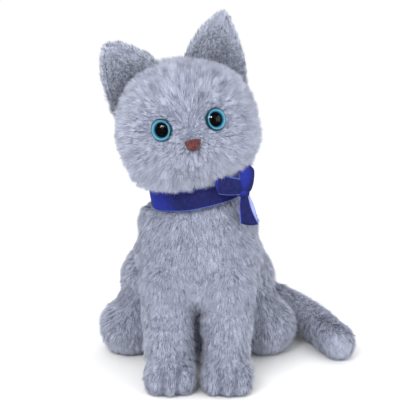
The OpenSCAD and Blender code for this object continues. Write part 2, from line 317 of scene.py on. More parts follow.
def velvet_material(name, painted_sheen_towards, darkest, brightest):
    """Deep blue velvet with a short nap, and a sheen painted into its colour where its surface
    faces one way.
    """
    material, tree, shader = new_material(name, 0.85, 0.75, 0.06)
    plain = noise_colours(tree, shader, 400.0, (0.012, 0.014, 0.072), (0.019, 0.022, 0.11))
    # Painted sheen: the colour turns towards a lit blue where the surface faces the given direction
    facing = tree.nodes.new("ShaderNodeNewGeometry").outputs["Normal"]
    towards = vector_math(tree, "DOT_PRODUCT", facing, unit(np.array(painted_sheen_towards)))
    painted_sheen = tree.nodes.new("ShaderNodeMapRange")
    painted_sheen.inputs["From Min"].default_value = darkest
    painted_sheen.inputs["From Max"].default_value = brightest
    mix = tree.nodes.new("ShaderNodeMix")
    mix.data_type = "RGBA"
    factor, plain_colour, lit_colour = mix.inputs[0], mix.inputs[6], mix.inputs[7]
    lit_colour.default_value = (0.025, 0.042, 0.40, 1.0)
    tree.links.new(towards["Value"], painted_sheen.inputs["Value"])
    tree.links.new(painted_sheen.outputs["Result"], factor)
    tree.links.new(plain, plain_colour)
    tree.links.new(mix.outputs[2], shader.inputs["Base Color"])
    shader.inputs["Sheen Tint"].default_value = (0.11, 0.16, 0.78, 1.0)
    shader.inputs["Sheen Roughness"].default_value = 0.35
    add_bump(tree, shader, 2500.0, 0.5, 0.0003)
    return material


def radial_material(name, stops, centre, axis):
    """Rings of colour by distance from an axis in the row frame, as a share of the eye's radius."""
    material, tree, shader = new_material(name, 0.6, 0.0, 0.05)
    place = tree.nodes.new("ShaderNodeTexCoord").outputs["Object"]
    offset = vector_math(tree, "SUBTRACT", place, centre)["Vector"]
    across = vector_math(tree, "CROSS_PRODUCT", offset, axis)["Vector"]
    reach = vector_math(tree, "LENGTH", across)["Value"]
    scaled = tree.nodes.new("ShaderNodeMath")
    scaled.operation = "DIVIDE"
    scaled.inputs[1].default_value = EYE_R * MM
    tree.links.new(reach, scaled.inputs[0])
    ramp_colours(tree, shader, scaled.outputs["Value"], stops)
    return material


def clear_plastic():
    """Clear moulded plastic of the eye domes."""
    material, _, shader = new_material("clear_plastic", 0.12, 0.0, 0.5)
    shader.inputs["Base Color"].default_value = (0.97, 0.99, 1.0, 1.0)
    shader.inputs["Transmission Weight"].default_value = 1.0
    shader.inputs["IOR"].default_value = 1.42
    return material


# ---- Mesh helpers ----


def mesh_object(name, points_mm, faces, materials, face_material=None, normals=None):
    """A new mesh from points in millimetres and a list of face arrays, one for each face size."""
    data = bpy.data.meshes.new(name)
    data.vertices.add(len(points_mm))
    data.vertices.foreach_set("co", (np.asarray(points_mm) * MM).astype(np.float32).ravel())
    sizes = np.concatenate([np.full(len(f), f.shape[1]) for f in faces])
    loops = np.concatenate([f.ravel() for f in faces])
    data.loops.add(len(loops))
    data.loops.foreach_set("vertex_index", loops.astype(np.int32))
    data.polygons.add(len(sizes))
    starts = np.concatenate([[0], np.cumsum(sizes)[:-1]])
    data.polygons.foreach_set("loop_start", starts.astype(np.int32))
    for material in materials:
        data.materials.append(material)
    if face_material is not None:
        data.polygons.foreach_set("material_index", face_material.astype(np.int32))
    data.update(calc_edges=True)
    data.validate()
    data.polygons.foreach_set("use_smooth", np.ones(len(data.polygons), bool))
    if normals is not None:
        data.normals_split_custom_set_from_vertices(normals.tolist())
    obj = bpy.data.objects.new(name, data)
    bpy.context.scene.collection.objects.link(obj)
    return obj


def mesh_arrays(obj):
    """Points, triangles and smooth normals of a mesh, in millimetres."""
    data = obj.data
    data.calc_loop_triangles()

    def read(items, field, kind):
        values = np.zeros(len(items) * 3, kind)
        items.foreach_get(field, values)
        return values.reshape(-1, 3)

    points = read(data.vertices, "co", np.float32) / MM
    normals = read(data.vertex_normals, "vector", np.float32)
    return points, read(data.loop_triangles, "vertices", np.int32), normals


def ball_points(subdivisions):
    """Unit sphere points and triangles."""
    work = bmesh.new()
    bmesh.ops.create_icosphere(work, subdivisions=subdivisions, radius=1.0)
    points = np.array([v.co[:] for v in work.verts])
    triangles = np.array([[v.index for v in f.verts] for f in work.faces])
    work.free()
    return points, triangles


BALL = ball_points(4)


def ellipsoid(centre, half):
    """Points and triangles of one ellipsoid."""
    return BALL[0] * np.asarray(half) + np.asarray(centre), BALL[1]


def thick_line(start, end, r_start, r_end):
    """Overlapping balls from one point to another."""
    return [
        ellipsoid(start + (end - start) * t, [r_start + (r_end - r_start) * t] * 3)
        for t in np.linspace(0.0, 1.0, 6)
    ]


def ring_quads(rows, around):
    """Quads between rings of points that follow one another."""
    i, j = np.meshgrid(np.arange(rows - 1) * around, np.arange(around), indexing="ij")
    i, j = i.ravel(), j.ravel()
    k = (j + 1) % around
    return np.stack([i + j, i + around + j, i + around + k, i + k], axis=1)


def two_faced(here, after, size):
    """Quads of two sheets of points back to back, from two runs of rows of the front one."""
    front = np.stack([here[:, :-1], here[:, 1:], after[:, 1:], after[:, :-1]], axis=-1)
    back = size + front[..., [1, 0, 3, 2]]
    return np.stack([front, back], axis=2).reshape(len(here), -1, 4)


def wall(a, b, size):
    """Quads that join steps from a to b on the front sheet to the same on the back one."""
    return np.stack([a, b, size + b, size + a], axis=-1)


def melted(name, lumps, material, voxel, smooth):
    """One padded skin from overlapping lumps, with the joins drawn in smoothly."""
    points, faces, base = [], [], 0
    for lump_points, lump_faces in lumps:
        points.append(lump_points)
        faces.append(lump_faces + base)
        base += len(lump_points)
    obj = mesh_object(name, np.concatenate(points), [np.concatenate(faces)], [material])
    remesh = obj.modifiers.new("remesh", "REMESH")
    remesh.mode = "VOXEL"
    remesh.voxel_size = voxel * MM
    relax = obj.modifiers.new("relax", "SMOOTH")
    relax.iterations = smooth
    relax.factor = 0.5
    graph = bpy.context.evaluated_depsgraph_get()
    shape = bpy.data.meshes.new_from_object(obj.evaluated_get(graph))
    obj.modifiers.clear()
    obj.data = shape
    if not shape.materials:
        shape.materials.append(material)
    co = np.zeros(len(shape.vertices) * 3, np.float32)
    shape.vertices.foreach_get("co", co)
    co = co.reshape(-1, 3)
    co[:, 2] = np.maximum(co[:, 2], FLOOR_GAP * MM)
    shape.vertices.foreach_set("co", co.ravel())
    shape.polygons.foreach_set("use_smooth", np.ones(len(shape.polygons), bool))
    shape.update()
    return obj


# ---- Pile: every strand is a short tapered blade rooted in a skin ----

STRAND_W = 0.28
ROOT_PAINTED_SHADE, TIP_PAINTED_LIGHT = 1.3, 1.0  # painted shade at the roots and painted light at the tips, in steps of shade
HEAD_PILE, TORSO_PILE, TAIL_PILE = 8.0, 6.8, 5.6
FRONT_LEG_PILE, HIND_LEG_PILE = 5.6, 5.8
EAR_HOLLOW_PILE, EAR_BACK_PILE = 3.8, 4.4
PILE_OVER_BAND = 5.0  # pile grows again this far above the ribbon


def scramble(cells, salt):
    """Repeatable random numbers from 0 to 1 for whole-number cells."""
    x, y, z = cells.T
    mixed = x * 73856093 ^ y * 19349663 ^ z * 83492791 ^ salt * 2654435761
    mixed = (mixed ^ (mixed >> 13)) * 1274126177 & 0xFFFFFFFF
    return ((mixed ^ (mixed >> 16)) & 0xFFFFFF) / float(0x1000000)


def waves(points, length, salt):
    """Smooth variation from -1 to 1 over a length in millimetres."""
    rng = np.random.default_rng(salt)
    total = np.zeros(len(points))
    for _ in range(5):
        direction = unit(rng.normal(size=3)) * (2 * math.pi / length) * rng.uniform(0.7, 1.5)
        total += np.sin(points @ direction + rng.uniform(0, 2 * math.pi))
    return total / 3.0


def tangent(direction, normal):
    """The part of a direction that lies along the surface."""
    return unit(direction - normal * np.sum(direction * normal, axis=1, keepdims=True))


def sample_skin(obj, density, rng):
    """Root points and normals, evenly spread over a skin, so many to a square millimetre."""
    points, triangles, normals = mesh_arrays(obj)
    a, b, c = (points[triangles[:, i]] for i in range(3))
    areas = np.linalg.norm(np.cross(b - a, c - a), axis=1) / 2
    count = int(areas.sum() * density)
    chosen = rng.choice(len(triangles), count, p=areas / areas.sum())
    u, v = rng.random(count), rng.random(count)
    flip = u + v > 1
    u[flip], v[flip] = 1 - u[flip], 1 - v[flip]
    corners, shares = triangles[chosen].T, (1 - u - v, u, v)

    def mixed(values):
        return sum(values[corner] * share[:, None] for corner, share in zip(corners, shares))

    return mixed(points), unit(mixed(normals))


def pile(name, skin, groom, length, shades, density, lay, salt, keep=None, shade_shift=None,
         clump=2.2, gather=0.3):
    """Strands over a skin, so many to a square millimetre, each a quad and a triangle.

    groom gives the direction they lie in and lay how flat, length their height and keep where they
    grow. clump is the size of a tuft, gather how far its tips draw together. shade_shift lightens.
    """
    rng = np.random.default_rng(salt)
    roots, normals = sample_skin(skin, density, rng)
    if keep is not None:
        mask = keep(roots, normals)
        roots, normals = roots[mask], normals[mask]
    count = len(roots)
    along = tangent(groom(roots, normals) + 0.12 * rng.normal(size=(count, 3)), normals)
    side = np.cross(normals, along)
    cells = np.floor(roots / clump).astype(np.int64)
    sway = scramble(cells, 11) - 0.5
    lift = scramble(cells, 23)
    tone = scramble(cells, 37)
    along = unit(along + side * sway[:, None] * 0.4 + 0.15 * rng.normal(size=(count, 3)))
    tall = length(roots, normals) * (0.8 + 0.3 * lift + 0.25 * rng.random(count))
    tilt = lay + 0.16 * waves(roots, 22.0, salt + 5) - 0.12 * (lift - 0.5)
    tilt = np.clip(tilt, 0.1, 0.92)[:, None]
    first = unit(normals * (1 - tilt) + along * tilt)
    second = unit(first + along * 0.55 - normals * 0.1)
    middle = roots + first * (tall * 0.5)[:, None]
    tips = middle + second * (tall * 0.5)[:, None]
    wander = np.stack([scramble(cells, s) for s in (41, 43, 47)], 1) - 0.5
    hub = (cells + 0.5 + 0.6 * wander) * clump
    inward = hub - roots
    inward -= normals * np.sum(inward * normals, axis=1, keepdims=True)
    tips += inward * gather
    middle += inward * gather * 0.3
    spin = rng.uniform(-0.9, 0.9, count)[:, None]
    flat = unit(np.cross(first, normals))
    broad = flat * np.cos(spin) + normals * np.sin(spin)
    half = (STRAND_W * (0.75 + 0.5 * rng.random(count)) / 2)[:, None]
    low, high = broad * half, broad * half * 0.85
    blade = [roots - low, roots + low, middle - high, middle + high, tips]
    vertices = np.stack(blade, axis=1).reshape(-1, 3)
    vertices[:, 2] = np.maximum(vertices[:, 2], PILE_FLOOR_GAP)
    base = np.arange(count)[:, None] * len(blade)
    quads = base + np.array([[0, 1, 3, 2]])
    ends = base + np.array([[2, 3, 4]])
    shading = unit(normals * 0.75 + along * 0.15 + 0.22 * rng.normal(size=(count, 3)))
    shading = np.repeat(shading, len(blade), axis=0)
    shade = tone * 1.9 + rng.random(count) * 1.5 + 0.35 * waves(roots, 26.0, salt + 9)
    if shade_shift is not None:
        shade = shade + shade_shift(roots, normals)
    top = len(shades) - 1
    # Root faces take a darker shade as painted shade deep in the pile, tip faces a lighter one as
    # painted light
    root_shade = np.clip(np.round(shade - ROOT_PAINTED_SHADE), 0, top)
    tip_shade = np.clip(np.round(shade + TIP_PAINTED_LIGHT), 0, top)
    picked = np.concatenate([root_shade, tip_shade])
    return mesh_object(name, vertices, [quads, ends], shades, picked, shading)


# ---- Skins ----


def attach(piece, body, slot, *nodes):
    """A piece rides a body and stands for these CAD nodes; slot is not used."""
    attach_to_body(piece, body)
    if nodes:
        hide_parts(*nodes)


def head_skin(material):
    """The head: a full, slightly squared ball with a short muzzle, and hollows for the eyes."""
    directions, triangles = ball_points(5)
    scaled = np.abs(directions) / HEAD_HALF
    radius = np.sum(scaled**HEAD_FULLNESS, axis=1) ** (-1 / HEAD_FULLNESS)
    points = directions * radius[:, None]
    front = np.clip(-directions[:, 1], 0, 1)
    offset = points[:, [0, 2]] - MUZZLE[[0, 2]]
    spread = offset[:, 0] ** 2 / MUZZLE_W**2 + offset[:, 1] ** 2 / MUZZLE_H**2
    points[:, 1] -= MUZZLE_DEPTH * (np.exp(-spread) * front)
    for side, puff in CHEEK_PUFF.items():
        cheek = points - mirrored(CHEEK, side)
        points += directions * (puff * np.exp(-np.sum(cheek**2, axis=1) / CHEEK_R**2))[:, None]
        outward = eye_turn(side) @ AHEAD
        offset = points - mirrored(EYE_PLACE, side)
        height = offset @ outward
        reach = np.linalg.norm(offset - np.outer(height, outward), axis=1)
        ceiling = EYE_SEAT + 0.9 * np.clip(reach - EYE_R * 1.02, 0, None)
        near = (reach < EYE_R * 2.0) & (height > -12.0)
        sunk = np.where(near, np.clip(height - ceiling, 0, None), 0.0)
        points -= outward * sunk[:, None]
    return mesh_object("head_skin", head_points(points), [triangles], [material])


def torso_skin(material):
    """Chest, belly, back and rump as one stuffed bag, flat where it sits."""
    under_neck = NECK * [1, 1, 0]
    lumps = [
        ellipsoid(NECK + [0, 0, 1], [26.0, 25.5, 24.0]),
        ellipsoid(NECK + [0, 2.6, 1], [25.8, 25.3, 24.0]),
        ellipsoid(under_neck + [0, -2, 100], [37.4, 29.0, 26.0]),
        ellipsoid(under_neck + [1, -7, 84], [40.5, 31.5, 29.0]),
        ellipsoid(under_neck + [0.5, -8, 68], [37.0, 31.0, 22.0]),
        ellipsoid(under_neck + [0, 12, 78], [33.0, 30.0, 32.0]),
        ellipsoid([19.5, -57.0, 66.0], [15.5, 18.5, 20.0]),
        ellipsoid([-18.5, -57.0, 66.0], [15.5, 18.5, 20.0]),
        ellipsoid([0, 6, 42], [36.0, 40.0, 40.0]),
        ellipsoid([0, 2, 18], [33.0, 36.0, 19.0]),
    ]
    return melted("torso_skin", lumps, material, voxel=2.4, smooth=14)


def front_leg_skin(side, material):
    """Upper leg, wrist and paw with three soft toes."""
    shoulder = mirrored(SHOULDER, side) + [0, 1.5, 0]
    wrist = np.array([side * 19.0 + 0.3, -63.0, 22.0])
    paw = np.array([side * PAW_X + PAW_SHIFT, -66.5, 13.0])
    lumps = thick_line(shoulder, wrist, 15.3, 13.5)
    lumps.append(ellipsoid(paw, [14.6, 16.5, 12.6]))
    for toe in (-8.5, 0.0, 8.5):
        lumps.append(ellipsoid(paw + [toe, -12.0 + abs(toe) * 0.25, -3.0], [6.2, 7.0, 8.6]))
    return melted(f"front_{SIDE_NAME[side]}_leg_skin", lumps, material, voxel=1.8, smooth=6)


def hind_leg_skin(side, material):
    """Rounded thigh with the foot set forward and out."""
    thigh, shank = HIP + [7.5, 2.0, -2.0], HIP + [11.0, -3.0, -22.0]
    heel, toes = mirrored([42.0, 20.0, 15.0], side), mirrored([47.6, 2.0, 18.2], side)
    knee, ankle = mirrored([34.0, 2.0, 44.0], side), mirrored([44.0, 2.0, 27.0], side)
    lumps = [
        ellipsoid(mirrored(thigh, side), [17.5, 26.0, 26.0]),
        ellipsoid(mirrored(shank, side), [17.0, 22.0, 20.0]),
    ]
    lumps += thick_line(heel, toes, 14.0, 18.4)
    lumps += thick_line(knee, ankle, 15.0, 14.5)
    return melted(f"hind_{SIDE_NAME[side]}_leg_skin", lumps, material, voxel=2.0, smooth=16)


def tail_curve(count):
    """Points along the tail's middle, from inside the rump to its end."""
    tip = np.array([97.6, -13.0, 11.6])
    inside = TAIL_ROOT + [-9, -14, 1]
    joints = [TAIL_ROOT - [0, 0, 2], TAIL_BEND - [0, 0, 2], TAIL_LIFT - [0, 0, 1]]
    beyond = tip + (tip - TAIL_LIFT) * 0.5
    knots = np.array([inside + [-6, -12, 1], inside, *joints, tip, beyond])
    run = []
    for i in range(1, 5):
        for t in np.linspace(0, 1, count, endpoint=i == 4):
            a, b, c, d = knots[i - 1 : i + 3]
            square, cube = 2 * a - 5 * b + 4 * c - d, 3 * b - a - 3 * c + d
            run.append(0.5 * (2 * b + (c - a) * t + square * t**2 + cube * t**3))
    return np.array(run)


def tube(path, radii, around=28):
    """Points and quads of a round tube."""
    along = unit(np.gradient(path, axis=0))
    side = unit(np.cross(along, UP))
    other = np.cross(side, along)
    angles = circle(around)
    cosines, sines = np.cos(angles)[None, :, None], np.sin(angles)[None, :, None]
    ring = side[:, None] * cosines + other[:, None] * sines
    points = path[:, None] + ring * np.asarray(radii)[:, None, None]
    return points.reshape(-1, 3), ring_quads(len(path), around)


def tail_skins(material):
    """The tail as three lengths of one tube, cut just before each bend, and its path."""
    path = tail_curve(14)
    steps = np.linalg.norm(np.diff(path, axis=0), axis=1)
    travelled = np.concatenate([[0], np.cumsum(steps)])
    total = travelled[-1]
    radii = 8.6 + 1.6 * np.sin(np.clip(travelled / total, 0, 1) * math.pi * 0.8)
    cap = np.clip((total + 9.0 - travelled) / 10.0, 0, 1)
    radii = radii * np.sqrt(1 - (1 - cap) ** 2)
    cap_angles = np.linspace(0.15, 1.0, 7) * math.pi / 2
    radii[0] = 0.1
    ahead = unit(path[-1] - path[-2])
    end_r = radii[-1]
    path = np.concatenate([path, [path[-1] + ahead * end_r * math.sin(a) for a in cap_angles]])
    radii = np.concatenate([radii, [max(end_r * math.cos(a), 0.05) for a in cap_angles]])
    first = int(np.argmin(np.linalg.norm(path - TAIL_BEND, axis=1))) - 4
    second = int(np.argmin(np.linalg.norm(path - TAIL_LIFT, axis=1))) - 4
    pieces = []
    cuts = (("root", 0, first + 1), ("middle", first, second + 1), ("tip", second, len(path)))
    for name, a, b in cuts:
        points, quads = tube(path[a:b], radii[a:b])
        pieces.append(mesh_object(f"tail_{name}_skin", points, [quads], [material]))
    return pieces, path


# ---- Ears ----

EAR_GRID = 22
EAR_PLACE = np.array([28.2, 5.0, 30.5])
EAR_SLOPE = 37.0
EAR_ROLL = 2.3
EAR_W = 42.0
EAR_LEAN = {LEFT: -10.6, RIGHT: -9.0}
EAR_H = {LEFT: 32.9, RIGHT: 29.7}
EAR_FULLNESS = {LEFT: (1.34, 0.72), RIGHT: (1.48, 0.62)}


def ear_points(local, side):
    """Points of an ear's own frame in the row frame; x runs out along the fold, z to the tip."""
    spot = np.asarray(local) @ turn("y", EAR_SLOPE).T + EAR_PLACE
    return head_points(mirrored(spot, side) @ turn("y", -EAR_ROLL).T)


def ear_sheet(side, inset, depth_shift):
    """One face of an ear, hollow to the front, as a grid in the ear's own frame."""
    v = np.linspace(-0.14, 1.0, EAR_GRID)[:, None]
    u = np.linspace(-1.0, 1.0, EAR_GRID)[None, :]
    rise = np.clip(v, 0, 1)
    rising, rounding = EAR_FULLNESS[side]
    half_w = (EAR_W / 2 - inset) * (1 - rise**rising) ** rounding
    half_w = np.maximum(half_w, 0.4)
    centre = EAR_LEAN[side] * rise**1.1
    x = centre + u * half_w
    droop = -3.2 * (u**2) * (1 - rise)
    z = v * (EAR_H[side] - inset) + droop
    cup = 6.0 * (1 - u**2) * (1 - rise**1.5) - 2.5 * rise
    y = cup + depth_shift + 0 * v
    return np.stack([x, y, z], axis=2)


def ear_skin(side, material):
    """Both cloths of an ear, joined round the edge."""
    size = EAR_GRID**2
    sheets = [ear_sheet(side, 1.0, -1.4), ear_sheet(side, 0.0, 1.4)]
    points = np.concatenate([sheet.reshape(-1, 3) for sheet in sheets])
    index = np.arange(size).reshape(EAR_GRID, EAR_GRID)
    near, far, top = index[:, 0], index[:, -1], index[-1]
    rims = np.stack([wall(near[:-1], near[1:], size), wall(far[1:], far[:-1], size)], axis=1)
    sheets = two_faced(index[:-1], index[1:], size).reshape(-1, 4)
    faces = np.concatenate([sheets, rims.reshape(-1, 4), wall(top[:-1], top[1:], size)])
    if side == RIGHT:
        faces = faces[:, ::-1]
    return mesh_object(f"{SIDE_NAME[side]}_ear_skin", ear_points(points, side), [faces], [material])


# ---- Eyes and nose ----


def eye_axes(side):
    """An eye's centre and its outward, sideways and upward directions in the row frame."""
    turned = eye_turn(side)
    outward = HEAD_TURN @ turned @ AHEAD
    upward = HEAD_TURN @ turned @ UP
    centre = head_points(mirrored(EYE_PLACE, side))
    return centre, outward, np.cross(outward, upward), upward


def turned_shape(name, profile, axes, material):
    """A round piece from (radius, height) points about an eye's axis."""
    around = 48
    centre, outward, across, upward = axes
    angles = circle(around)
    ring = np.cos(angles)[:, None] * across + np.sin(angles)[:, None] * upward
    points = np.concatenate([centre + ring * r + outward * h for r, h in profile])
    quads = ring_quads(len(profile), around)[:, [0, 3, 2, 1]]
    obj = mesh_object(name, points, [quads], [material])
    work = bmesh.new()
    work.from_mesh(obj.data)
    bmesh.ops.remove_doubles(work, verts=work.verts, dist=1e-6)
    bmesh.ops.recalc_face_normals(work, faces=work.faces)
    work.to_mesh(obj.data)
    work.free()
    return obj


def make_eye(side, glass):
    """A safety eye: black pupil in a turquoise ring with a dark rim, under a clear dome."""
    label = SIDE_NAME[side]
    axes = eye_axes(side)
    centre, outward = axes[0] * MM, axes[1]
    stops = [
        (0.0, (0.001, 0.001, 0.002)),
        (0.47, (0.001, 0.001, 0.002)),
        (0.51, (0.01, 0.09, 0.17)),
        (0.57, (0.05, 0.27, 0.42)),
        (0.65, (0.20, 0.55, 0.68)),
        (0.72, (0.10, 0.38, 0.55)),
        (0.80, (0.012, 0.09, 0.15)),
    ]
    iris = radial_material(f"{label}_iris", stops, centre, outward)
    base_r, base_back = EYE_R * 0.97, -2.5
    bowl = [(0.0, -0.6), (EYE_R * 0.5, -0.5), (EYE_R * 0.7, 0.3)]
    bowl += [(base_r, 1.3), (base_r, base_back), (2.0, base_back)]
    base = turned_shape(f"{label}_eye_colour", bowl, axes, iris)
    dome_foot, rise, dome_back = 1.45, 4.4, -1.2
    dome_r = (EYE_R**2 + rise**2) / (2 * rise)
    tops = np.linspace(0, math.asin(EYE_R / dome_r), 12)
    outer = [(dome_r * math.sin(a), dome_foot + rise - dome_r + dome_r * math.cos(a)) for a in tops]
    outer += [(EYE_R, dome_back), (0.0, dome_back)]
    dome = turned_shape(f"{label}_eye_clear", outer, axes, glass)
    for piece, node, slot in ((base, "eye_base", "eye_colour"), (dome, "eye_dome", "eye_clear")):
        attach(piece, "head", slot, f"{label}_{node}")


def make_nose(material):
    """A pad of upright satin stitches, wider at the top, with a rounded lower edge."""
    stitches, top_w, height = 15, 10.2, 7.2
    points, quads, base = [], [], 0
    for i in range(stitches):
        t = (i + 0.5) / stitches * 2 - 1
        x_top = t * top_w / 2
        x_low = t * top_w * 0.27
        z_top = height / 2 - 0.9 * abs(t) ** 2
        z_low = -height / 2 + 1.4 * abs(t) ** 1.5
        s = np.linspace(0, 1, 9)
        x = x_top + (x_low - x_top) * s**1.2
        z = z_top + (z_low - z_top) * s
        y = -1.9 * np.sin(np.clip(s * 0.92 + 0.04, 0, 1) * math.pi) ** 0.5 * (1 - 0.45 * t * t)
        path = head_points(np.stack([x, y, z], 1) + NOSE_PLACE)
        strand, faces = tube(path, 0.42 + 0.12 * np.sin(s * math.pi), around=8)
        points.append(strand)
        quads.append(faces + base)
        base += len(strand)
    pad_points = BALL[0] * [top_w / 2 * 0.93, 2.2, height / 2 * 0.86]
    narrow = 1 + 0.38 * pad_points[:, 2:3] / (height / 2)
    pad_points[:, :1] *= np.clip(narrow, 0.5, 1.2)
    pad = head_points(pad_points + NOSE_PLACE + [0, 0.9, 0])
    points.append(pad)
    faces = [np.concatenate(quads), BALL[1] + base]
    nose = mesh_object("nose_stitches", np.concatenate(points), faces, [material])
    attach(nose, "head", "nose_thread", "nose")


# ---- Ribbon ----


def ribbon_strip(name, path, face_dirs, width, materials, thickness=0.9, spread=1.0, slant=0.0,
                 rounding=0.0, cup=0.0, closed=False):
    """A ribbon along a path, its velvet towards face_dirs; materials are velvet, satin, selvedge.

    spread gathers it, slant and rounding shape its end, and cup arches it from edge to edge.
    """
    path, out = np.asarray(path, float), unit(np.asarray(face_dirs, float))
    along = np.gradient(path, axis=0)
    if closed:
        along = (np.roll(path, -1, axis=0) - np.roll(path, 1, axis=0)) / 2
    along = unit(along)
    across = unit(np.cross(along, out))
    out = unit(np.cross(across, along))
    stations = np.array([-1.0, -0.93, -0.84, -0.5, 0.0, 0.5, 0.84, 0.93, 1.0])
    crown = np.array([0.0, 0.10, -0.04, 0.02, 0.05, 0.02, -0.04, 0.10, 0.0])
    half = width / 2 * spread * np.ones(len(path))
    grid = path[:, None] + across[:, None] * (stations[None, :] * half[:, None])[..., None]
    cut = slant * np.linspace(0, 1, len(path)) ** 3
    grid = grid - along[:, None] * (stations[None, :] * cut[:, None])[..., None]
    grid = grid - (path - path[0])[:, None] * (rounding * stations[None, :] ** 2)[..., None]
    grid = grid + out[:, None] * (cup * (1 - stations**2))[None, :, None]
    front = grid + out[:, None] * (thickness / 2 + crown)[None, :, None]
    back = grid - out[:, None] * (thickness / 2 - np.abs(crown) * 0.3)[None, :, None]
    rows, columns = len(path), len(stations)
    size = rows * columns
    points = np.concatenate([front.reshape(-1, 3), back.reshape(-1, 3)])
    index = np.arange(size).reshape(rows, columns)
    here, after = (index, np.roll(index, -1, axis=0)) if closed else (index[:-1], index[1:])
    near, far = wall(here[:, 0], after[:, 0], size), wall(here[:, -1], after[:, -1], size)
    rims = np.stack([near, far[:, ::-1]], axis=1)
    quads = np.concatenate([two_faced(here, after, size), rims], axis=1).reshape(-1, 4)
    slots = ([2, 2] + [0, 1] * (columns - 3) + [2, 2, 2, 2]) * len(here)
    if not closed:
        first, last = index[0], index[-1]
        ends = [wall(first[:-1], first[1:], size), wall(last[1:], last[:-1], size)]
        quads = np.concatenate([quads, np.concatenate(ends)[:, [0, 3, 2, 1]]])
        slots += [0] * (2 * columns - 2)
    return mesh_object(name, points, [quads], materials, np.array(slots))


def make_ribbon(materials, lit_materials):
    """The band round the neck and the bow at its side; its upright parts take the velvet whose
    sheen is painted facing the front.
    """
    tilt = turn("y", -HEAD_ROLL)
    angles = circle(120)
    ring = np.stack([np.cos(angles), np.sin(angles), 0 * angles], 1)
    ripple = 0.35 * np.sin(angles * 5 + 1.0) + 0.25 * np.sin(angles * 8)
    reach = ring * [COLLAR_R, COLLAR_DEPTH_R, 1.0] + ring * (0.3 * ripple)[:, None]
    path = NECK + (reach + np.array([0, 0, 1]) * (0.6 + 0.5 * ripple)[:, None]) @ tilt.T
    band = ribbon_strip("ribbon_collar", path, ring @ tilt.T, RIBBON_W, materials, closed=True)
    attach(band, "torso", "velvet", "ribbon_band")

    s = np.linspace(0, 2 * math.pi, 44)
    gathered = 0.5 + 0.5 * np.sin(s / 2) ** 0.7

    # Side loop: lies along the band towards the middle of the chest
    inward, facing = np.array([-0.97, -0.24, 0.0]), np.array([0.24, -0.97, 0.0])
    reach = 9.4 * (1 - np.cos(s))
    bulge = 2.8 * np.sin(s) * (1 - 0.3 * np.cos(s))
    loop = PINCH + UP * 3.4 + inward * (reach - 1.0)[:, None] + facing * (bulge + 0.6)[:, None]
    loop = loop + UP * (0.17 * reach)[:, None]
    face = facing * np.sin(s)[:, None] + inward * (0.001 + 0.6 * np.sin(s / 2))[:, None]
    side_loop = ribbon_strip("bow_side_loop_velvet", loop, face, SIDE_LOOP[0], materials,
                             spread=gathered, rounding=0.08, cup=0.8)

    # Upright loop: stands on the pinch beside the cheek
    facing = unit(np.array([0.30, -0.95, 0.0]))
    sideways = np.array([-facing[1], facing[0], 0.0])
    rise = 8.0 * (1 - np.cos(s))
    loop = PINCH + UP * (0.6 + rise)[:, None] + facing * (3.2 * np.sin(s))[:, None]
    loop = loop + sideways * (0.5 + 0.06 * rise)[:, None]
    face = facing * np.sin(s)[:, None] + UP * (0.001 + 0.6 * np.sin(s / 2))[:, None]
    upright = ribbon_strip("bow_upright_loop_velvet", loop, face, UPRIGHT_LOOP[0], lit_materials,
                           spread=gathered, rounding=0.14, cup=1.6)

    # Knot: a tight wrap of ribbon round the pinch, its edges drawn in under the loops
    s = circle(48)
    path = PINCH + facing * (3.4 * np.cos(s))[:, None] + UP * (0.2 + 3.8 * np.sin(s))[:, None]
    path = path - sideways * 0.4
    face = facing * np.cos(s)[:, None] + UP * (0.9 * np.sin(s))[:, None]
    knot = ribbon_strip("bow_knot_wrap", path, face, KNOT_SHOWN_W, lit_materials, thickness=1.0,
                        closed=True)
    draw_in(knot, PINCH, sideways, KNOT_SHOWN_W / 2, 0.5)

    for piece, node, size in (
        (side_loop, "bow_side_loop", SIDE_LOOP),
        (upright, "bow_upright_loop", UPRIGHT_LOOP),
        (knot, "bow_knot", KNOT),
    ):
        attach(piece, "torso", "velvet", node)

    # Hanging ends fan out from the knot: one shows its velvet, the other its satin back
    away = unit((PINCH - NECK) * [1, 1, 0])
    s = np.linspace(0, 1, 24)
    fan = 0.28 + 0.77 * s**0.6
    start = PINCH + away * 0.6 - UP * 1.0
    path = start - UP * (s * 21.0)[:, None] + away * (1.4 * np.sin(s * 2.6) + 1.0 * s)[:, None]
    path = path + sideways * (2.4 * s**2 - 1.4 * np.sin(math.pi * s))[:, None]
    face = facing + sideways * (0.35 * np.sin(s * 2.5) - 0.15)[:, None]
    front = ribbon_strip("ribbon_end_velvet", path, face, VELVET_END[0], materials, thickness=0.6,
                         spread=fan, slant=3.2, rounding=0.05, cup=0.8)
    path = start - facing * 1.4 - UP * (s * 19.6)[:, None]
    path = path + sideways * (0.8 + 3.2 * s**1.1)[:, None]
    path = path + away * (0.2 + 1.2 * np.sin(s * 2.4))[:, None]
    face = -facing + sideways * (0.30 * np.sin(s * 2.5))[:, None]
    back = ribbon_strip("ribbon_end_satin", path, face, SATIN_END[0], materials, thickness=0.6,
                        spread=fan, slant=-3.0)
    for piece, node, size, slot in (
        (front, "ribbon_front_tail", VELVET_END, "velvet"),
        (back, "ribbon_back_tail", SATIN_END, "satin"),
    ):
        attach(piece, "ribbon_tails", slot, node)


def draw_in(obj, centre, direction, half_w, depth):
    """Tucks the two edges of a wrap in towards its middle line."""
    points, _, _ = mesh_arrays(obj)
    offset = points - centre
    along = offset @ direction
    across = offset - np.outer(along, direction)
    moved = points - across * (depth * np.clip(np.abs(along) / half_w, 0, 1) ** 2)[:, None]
    obj.data.vertices.foreach_set("co", (moved * MM).astype(np.float32).ravel())
    obj.data.update()


# ---- Putting it together ----


